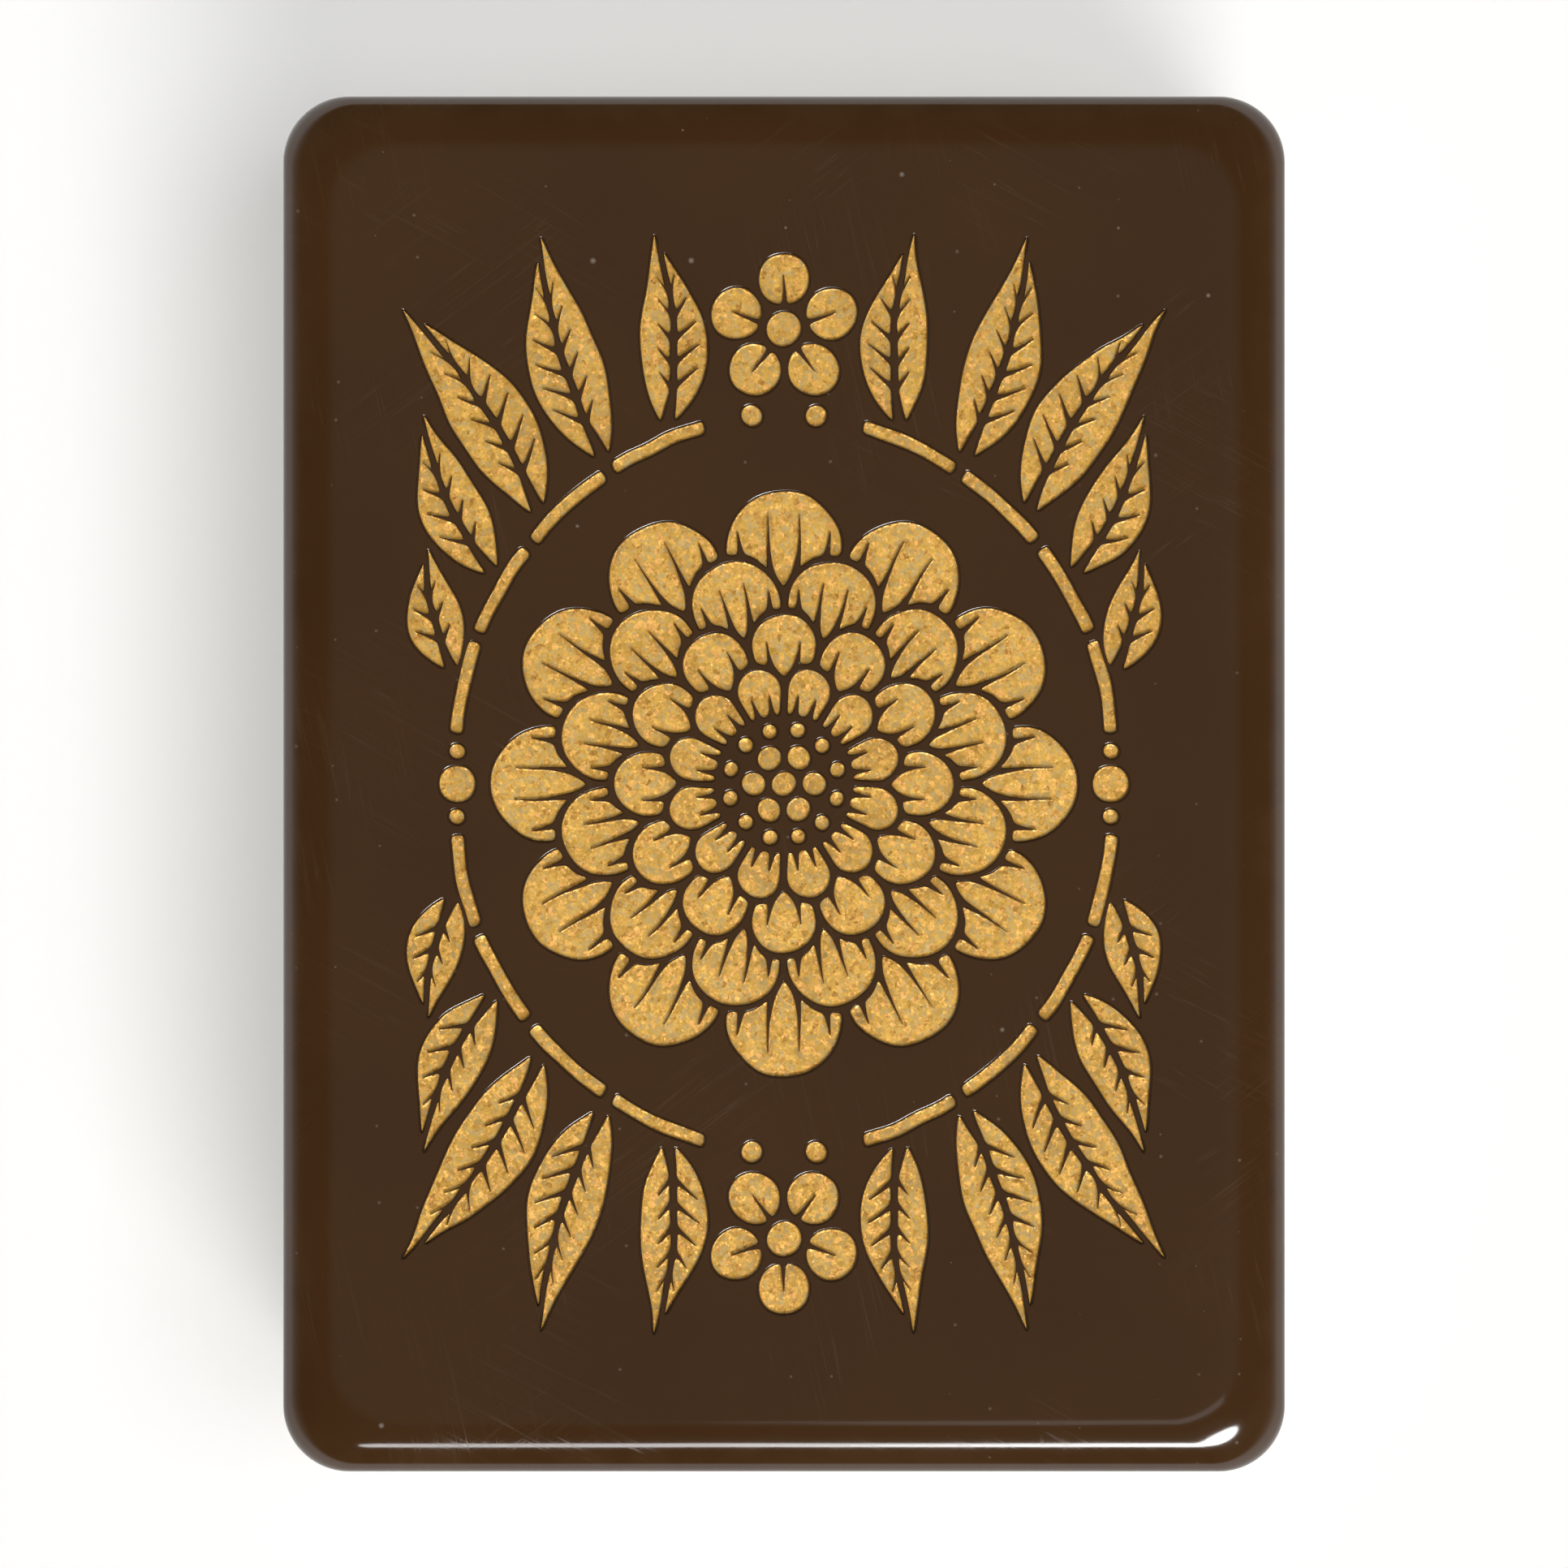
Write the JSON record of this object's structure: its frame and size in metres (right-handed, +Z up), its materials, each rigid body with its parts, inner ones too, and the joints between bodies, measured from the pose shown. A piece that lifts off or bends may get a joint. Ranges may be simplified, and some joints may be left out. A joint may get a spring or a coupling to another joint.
{
  "type": "mahjong tile",
  "caption": "Rounded two-layer game tile: glossy brown back engraved with a gold floral ornament, ivory face engraved with painted circles.",
  "frame": {"origin": "middle of the underside, on the surface that the tile lies on, face down", "axes": "+X across the tile's width, +Y along its length, +Z up out of the engraved back"},
  "size_m": [0.022, 0.0302, 0.013],
  "materials": {
    "back": "polished dark brown resin",
    "face": "polished ivory-coloured resin",
    "gold_paint": "grainy metallic gold paint",
    "green_paint": "green enamel paint",
    "red_paint": "red enamel paint",
    "blue_paint": "blue enamel paint"
  },
  "bodies": {
    "root": {"back_layer": "back", "face_layer": "face", "outer_petals": "gold_paint", "second_petals": "gold_paint", "third_petals": "gold_paint", "inner_petals": "gold_paint", "button_seeds": "gold_paint", "upper_leaves": "gold_paint", "lower_leaves": "gold_paint", "upper_stems": "gold_paint", "lower_stems": "gold_paint", "upper_blossom": "gold_paint", "lower_blossom": "gold_paint", "berries": "gold_paint", "green_circles": "green_paint", "red_circles": "red_paint", "blue_circles": "blue_paint"}
  },
  "joints": []
}
